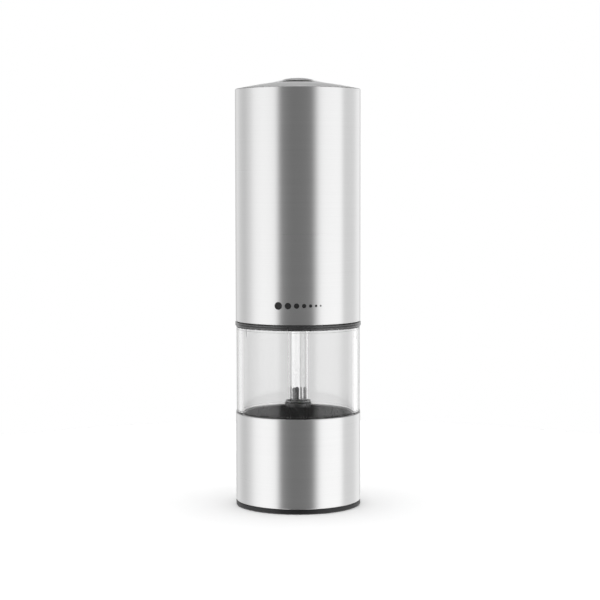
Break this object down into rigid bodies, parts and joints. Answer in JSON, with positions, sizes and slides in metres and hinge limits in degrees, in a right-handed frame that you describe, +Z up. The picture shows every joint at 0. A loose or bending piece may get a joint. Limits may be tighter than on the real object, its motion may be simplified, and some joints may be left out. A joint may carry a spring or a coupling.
{
  "type": "battery pepper mill",
  "caption": "Battery pepper mill: brushed steel cylinder with a domed top and push button, black collar, clear pepper chamber with a drive shaft, and a steel base with a ceramic grinder.",
  "frame": {"origin": "centre of the underside of the foot ring, on the surface the mill stands on", "axes": "+Z up along the mill's axis, -Y towards the front, +X to the right"},
  "size_m": [0.0636, 0.0636, 0.2153],
  "materials": {
    "brushed_steel": "brushed round the body",
    "satin_silver": "satin",
    "polished_steel": "polished",
    "zinc_steel": "zinc plated",
    "spring_steel": "drawn wire",
    "clear_acrylic": "clear moulded plastic",
    "grey_acrylic": "tinted moulded plastic",
    "gloss_black": "gloss",
    "matt_black": "matt",
    "ceramic": "unglazed",
    "nylon": "moulded",
    "bronze": "sintered",
    "red_wire": "cable sheath",
    "black_wire": "cable sheath",
    "silicone": "matt",
    "cell_wrap": "printed wrap, no text"
  },
  "bodies": {
    "base": {"foot_ring": "matt_black", "lower_band": "brushed_steel", "burr_housing": "matt_black", "base_screw_1": "zinc_steel", "base_screw_2": "zinc_steel", "base_screw_3": "zinc_steel", "burr_ring": "ceramic", "bearing_spider": "matt_black", "hopper": "gloss_black", "pepper_chamber": "clear_acrylic"},
    "drive_shaft": {"drive_rod": "polished_steel", "rod_sleeve": "clear_acrylic", "sleeve_clip": "grey_acrylic", "feed_hub": "gloss_black", "spring_washer": "zinc_steel", "grinder_spring": "spring_steel"},
    "grinding_cone": {"burr_cone": "ceramic"},
    "grind_adjuster": {"grind_knob": "matt_black"},
    "seal": {"chamber_seal": "silicone"},
    "head": {"lock_collar": "gloss_black", "head_bulkhead": "matt_black", "output_bush": "bronze", "gearbox_ring": "nylon", "motor_mount": "zinc_steel", "motor_can": "zinc_steel", "motor_end_cap": "matt_black", "motor_wire_red": "red_wire", "motor_wire_black": "black_wire", "motor_housing": "matt_black", "battery_tray": "matt_black", "battery_cell_1": "cell_wrap", "battery_cell_2": "cell_wrap", "battery_cell_3": "cell_wrap", "battery_cell_4": "cell_wrap", "battery_spring_1": "spring_steel", "battery_spring_2": "spring_steel", "battery_spring_3": "spring_steel", "battery_spring_4": "spring_steel", "lower_contact_right": "zinc_steel", "lower_contact_left": "zinc_steel", "upper_contact": "zinc_steel", "switch_body": "matt_black"},
    "gear_output": {"output_carrier": "nylon"},
    "gear_stage": {"stage_carrier": "nylon"},
    "motor_rotor": {"motor_armature": "zinc_steel", "motor_pinion": "bronze"},
    "lower_planet_gear_1": {"lower_planet_1": "nylon"},
    "lower_planet_gear_2": {"lower_planet_2": "nylon"},
    "lower_planet_gear_3": {"lower_planet_3": "nylon"},
    "upper_planet_gear_1": {"upper_planet_1": "nylon"},
    "upper_planet_gear_2": {"upper_planet_2": "nylon"},
    "upper_planet_gear_3": {"upper_planet_3": "nylon"},
    "switch": {"switch_plunger": "nylon"},
    "casing": {"upper_casing": "brushed_steel", "casing_liner": "matt_black", "dome_cap": "satin_silver", "button_bezel": "polished_steel", "button_spring": "spring_steel"},
    "button": {"push_button": "satin_silver", "button_clip": "spring_steel"}
  },
  "joints": [
    {"name": "head_lift", "type": "slide", "parent": "base", "child": "seal", "axis": [0, 0, 1], "range_m": [0, 0.06]},
    {"name": "head_twist", "type": "hinge", "parent": "seal", "child": "head", "pos_m": [0, 0, 0.09], "axis": [0, 0, 1], "range_deg": [0, 25]},
    {"name": "casing_lift", "type": "slide", "parent": "head", "child": "casing", "axis": [0, 0, 1], "range_m": [0, 0.12]},
    {"name": "button_press", "type": "slide", "parent": "casing", "child": "button", "axis": [0, 0, -1], "range_m": [0, 0.0012], "stiffness_N_per_m": 600, "springref_m": -0.002, "deforming": ["button_spring"]},
    {"name": "switch_press", "type": "slide", "parent": "head", "child": "switch", "axis": [0, 0, -1], "range_m": [0, 0.0012]},
    {"name": "shaft_spin", "type": "hinge", "parent": "base", "child": "drive_shaft", "pos_m": [0, 0, 0.05], "axis": [0, 0, 1], "continuous": true},
    {"name": "output_spin", "type": "hinge", "parent": "head", "child": "gear_output", "pos_m": [0, 0, 0.1], "axis": [0, 0, 1], "continuous": true},
    {"name": "stage_spin", "type": "hinge", "parent": "head", "child": "gear_stage", "pos_m": [0, 0, 0.107], "axis": [0, 0, 1], "continuous": true},
    {"name": "motor_spin", "type": "hinge", "parent": "head", "child": "motor_rotor", "pos_m": [0, 0, 0.12], "axis": [0, 0, 1], "continuous": true},
    {"name": "lower_planet_spin_1", "type": "hinge", "parent": "gear_output", "child": "lower_planet_gear_1", "pos_m": [0.0072, 0, 0.104], "axis": [0, 0, 1], "continuous": true},
    {"name": "lower_planet_spin_2", "type": "hinge", "parent": "gear_output", "child": "lower_planet_gear_2", "pos_m": [-0.0036, 0.00624, 0.104], "axis": [0, 0, 1], "continuous": true},
    {"name": "lower_planet_spin_3", "type": "hinge", "parent": "gear_output", "child": "lower_planet_gear_3", "pos_m": [-0.0036, -0.00624, 0.104], "axis": [0, 0, 1], "continuous": true},
    {"name": "upper_planet_spin_1", "type": "hinge", "parent": "gear_stage", "child": "upper_planet_gear_1", "pos_m": [0.0072, 0, 0.11], "axis": [0, 0, 1], "continuous": true},
    {"name": "upper_planet_spin_2", "type": "hinge", "parent": "gear_stage", "child": "upper_planet_gear_2", "pos_m": [-0.0036, 0.00624, 0.11], "axis": [0, 0, 1], "continuous": true},
    {"name": "upper_planet_spin_3", "type": "hinge", "parent": "gear_stage", "child": "upper_planet_gear_3", "pos_m": [-0.0036, -0.00624, 0.11], "axis": [0, 0, 1], "continuous": true},
    {"name": "grind_adjust", "type": "hinge", "parent": "drive_shaft", "child": "grind_adjuster", "pos_m": [0, 0, 0.004], "axis": [0, 0, 1], "range_deg": [-360, 180]},
    {"name": "cone_slide", "type": "slide", "parent": "drive_shaft", "child": "grinding_cone", "axis": [0, 0, 1], "range_m": [-0.0008, 0.0004], "deforming": ["grinder_spring"]}
  ],
  "couplings": [
    {"joint": "switch_press", "follows": "button_press", "ratio": 1},
    {"joint": "output_spin", "follows": "shaft_spin", "ratio": 1},
    {"joint": "stage_spin", "follows": "shaft_spin", "ratio": 5.3333},
    {"joint": "motor_spin", "follows": "shaft_spin", "ratio": 28.444},
    {"joint": "lower_planet_spin_1", "follows": "shaft_spin", "ratio": -2.6},
    {"joint": "lower_planet_spin_2", "follows": "shaft_spin", "ratio": -2.6},
    {"joint": "lower_planet_spin_3", "follows": "shaft_spin", "ratio": -2.6},
    {"joint": "upper_planet_spin_1", "follows": "shaft_spin", "ratio": -13.867},
    {"joint": "upper_planet_spin_2", "follows": "shaft_spin", "ratio": -13.867},
    {"joint": "upper_planet_spin_3", "follows": "shaft_spin", "ratio": -13.867},
    {"joint": "grind_adjust", "follows": "cone_slide", "rad_per_m": 7854}
  ]
}
